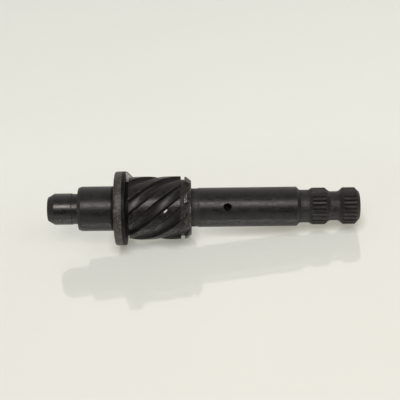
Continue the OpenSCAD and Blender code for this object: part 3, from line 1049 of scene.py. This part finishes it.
def white_sheet():
    """Glossy white, in two tones a hair apart, and a little smeared."""
    material, n = new_material("white_sheet")
    place = n.add("TexCoord").outputs["Object"]
    tone = n.mix(n.noise(place, PATCHES_PER_M, SHEET_DETAIL), *WHITE_TONES)
    dull = n.span(n.noise(place, SMEARS_PER_M, SHEET_DETAIL), *SMEAR_SPAN, *WHITE_DULL)
    rays = n.add("LightPath").outputs
    seen = n.math("MAXIMUM", rays["Is Camera Ray"], rays["Is Glossy Ray"])
    seen = n.math("MAXIMUM", seen, rays["Is Transmission Ray"])
    glow = n.times(seen, WHITE_GLOW)
    inputs = {
        "Base Color": n.mix(glow, tone, NO_LIGHT),
        "Roughness": dull,
        "Emission Color": tone,
        "Emission Strength": glow,
    }
    shader = n.add("BsdfPrincipled", inputs)
    shader.inputs["IOR"].default_value = WHITE_IOR
    n.add("OutputMaterial", {"Surface": shader.outputs[0]})
    return material


def clear_glass():
    """Clear where it faces the eye, mirror-like at a slant, and tinted brown under the shaft as painted
    contact shade.
    """
    material, n = new_material("clear_glass")
    reach = {"Distance": SHADE_REACH * MM}
    open_sky = n.add("AmbientOcclusion", reach, samples=SHADE_SAMPLES).outputs["AO"]
    lamp_ray = n.add("LightPath").outputs["Is Shadow Ray"]
    tint = n.mix(n.math("MAXIMUM", open_sky, lamp_ray), SHADE_BROWN, CLEAR)
    clear = n.add("BsdfTransparent", {"Color": tint}).outputs[0]
    mirror = n.add("BsdfGlossy", {"Roughness": GLASS_DULL}).outputs[0]
    shine = n.add("Fresnel", {"IOR": GLASS_IOR}).outputs[0]
    both = n.add("MixShader", {0: shine, 1: clear, 2: mirror}).outputs[0]
    n.add("OutputMaterial", {"Surface": both})
    return material


print("the white sheet lies", GLASS_T, "mm under the clear one")

# %% Lay the two sheets
TABLE_R, TABLE_CORNERS = 3.0, 96


def add_sheet(name, depth, material):
    """A wide round sheet, a depth in mm below what the shaft lies on."""
    bm = bmesh.new()
    bmesh.ops.create_circle(bm, cap_ends=True, segments=TABLE_CORNERS, radius=TABLE_R)
    bmesh.ops.translate(bm, verts=bm.verts, vec=(0, 0, -depth * MM))
    mesh = bpy.data.meshes.new(name)
    bm.to_mesh(mesh)
    bm.free()
    mesh.materials.append(material)
    sheet = bpy.data.objects.new(name, mesh)
    bpy.context.scene.collection.objects.link(sheet)


add_sheet("table", GLASS_T, white_sheet())
add_sheet("glass_top", 0, clear_glass())
print("table:", 2 * TABLE_R, "m across")

# %% [markdown]
# ## The room and the lamps
# Black steel shows almost nothing but reflections, so the room matters as much as the lamps. A
# wide window lamp, high in front, makes the bright band along each journal. A side lamp lights
# the faces that look towards the lever. The pale wall behind draws the upper outline, and the
# dark room in front leaves the black line between. A photographed room would do this as well,
# but four tones that fade into each other are enough, and each can be changed on its own.

# %% The room
WALL, CEILING, FRONT = (0.78, 0.74, 0.69, 1), (0.265, 0.257, 0.25, 1), (0.03, 0.03, 0.03, 1)
SIDES = (0.4, 0.4, 0.4, 1)
CEILING_RISE, WALL_RISE = (0.25, 0.8), (0.1, 0.75)
SIDES_TURN, SIDES_RISE = (0.35, 0.7), (0.1, 0.4)


def room_light():
    """The room's tone in each direction, as light from far away."""
    world = bpy.data.worlds.new("room")
    world.use_nodes = True
    world.node_tree.nodes.clear()
    n = Nodes(world.node_tree)
    way = n.add("SeparateXYZ", {0: n.add("TexCoord").outputs["Generated"]}).outputs
    tone = n.mix(n.span(way["Z"], *CEILING_RISE), FRONT, CEILING)
    tone = n.mix(n.span(way["Y"], *WALL_RISE), tone, WALL)
    sides = n.span(n.math("ABSOLUTE", way["X"]), *SIDES_TURN)
    tone = n.mix(n.times(sides, n.span(way["Z"], *SIDES_RISE)), tone, SIDES)
    shader = n.add("Background", {"Color": tone, "Strength": 1.0})
    n.add("OutputWorld", {"Surface": shader.outputs[0]})
    bpy.context.scene.world = world


room_light()
print("room:", bpy.context.scene.world.name)

# %% The lamps
LAMP_TONE, LAMP_FAR = (1.0, 0.935, 0.885), 0.85


def add_lamp(name, up, swing, wide, tall, watts):
    """A soft rectangular lamp that looks at the shaft from a height and a swing in degrees."""
    a, b = math.radians(up), math.radians(swing)
    way = Vector((math.sin(b) * math.cos(a), -math.cos(b) * math.cos(a), math.sin(a)))
    data = bpy.data.lights.new(name, "AREA")
    data.shape = "RECTANGLE"
    data.size, data.size_y, data.energy = wide, tall, watts
    data.color = LAMP_TONE
    lamp = bpy.data.objects.new(name, data)
    lamp.location = way * LAMP_FAR
    lamp.rotation_euler = way.to_track_quat("Z", "Y").to_euler()
    bpy.context.scene.collection.objects.link(lamp)
    print(name, "at", [round(v, 2) for v in lamp.location])


add_lamp("window_lamp", up=55.5, swing=-3.0, wide=0.46, tall=0.26, watts=3.55)
add_lamp("side_lamp", up=45.0, swing=52.0, wide=0.30, tall=0.30, watts=1.4)

# %% [markdown]
# ## Finish
# The colours are shown as they are, with no film curve over them.

# %% Show the colours as they are
bpy.context.scene.view_settings.view_transform = "Standard"
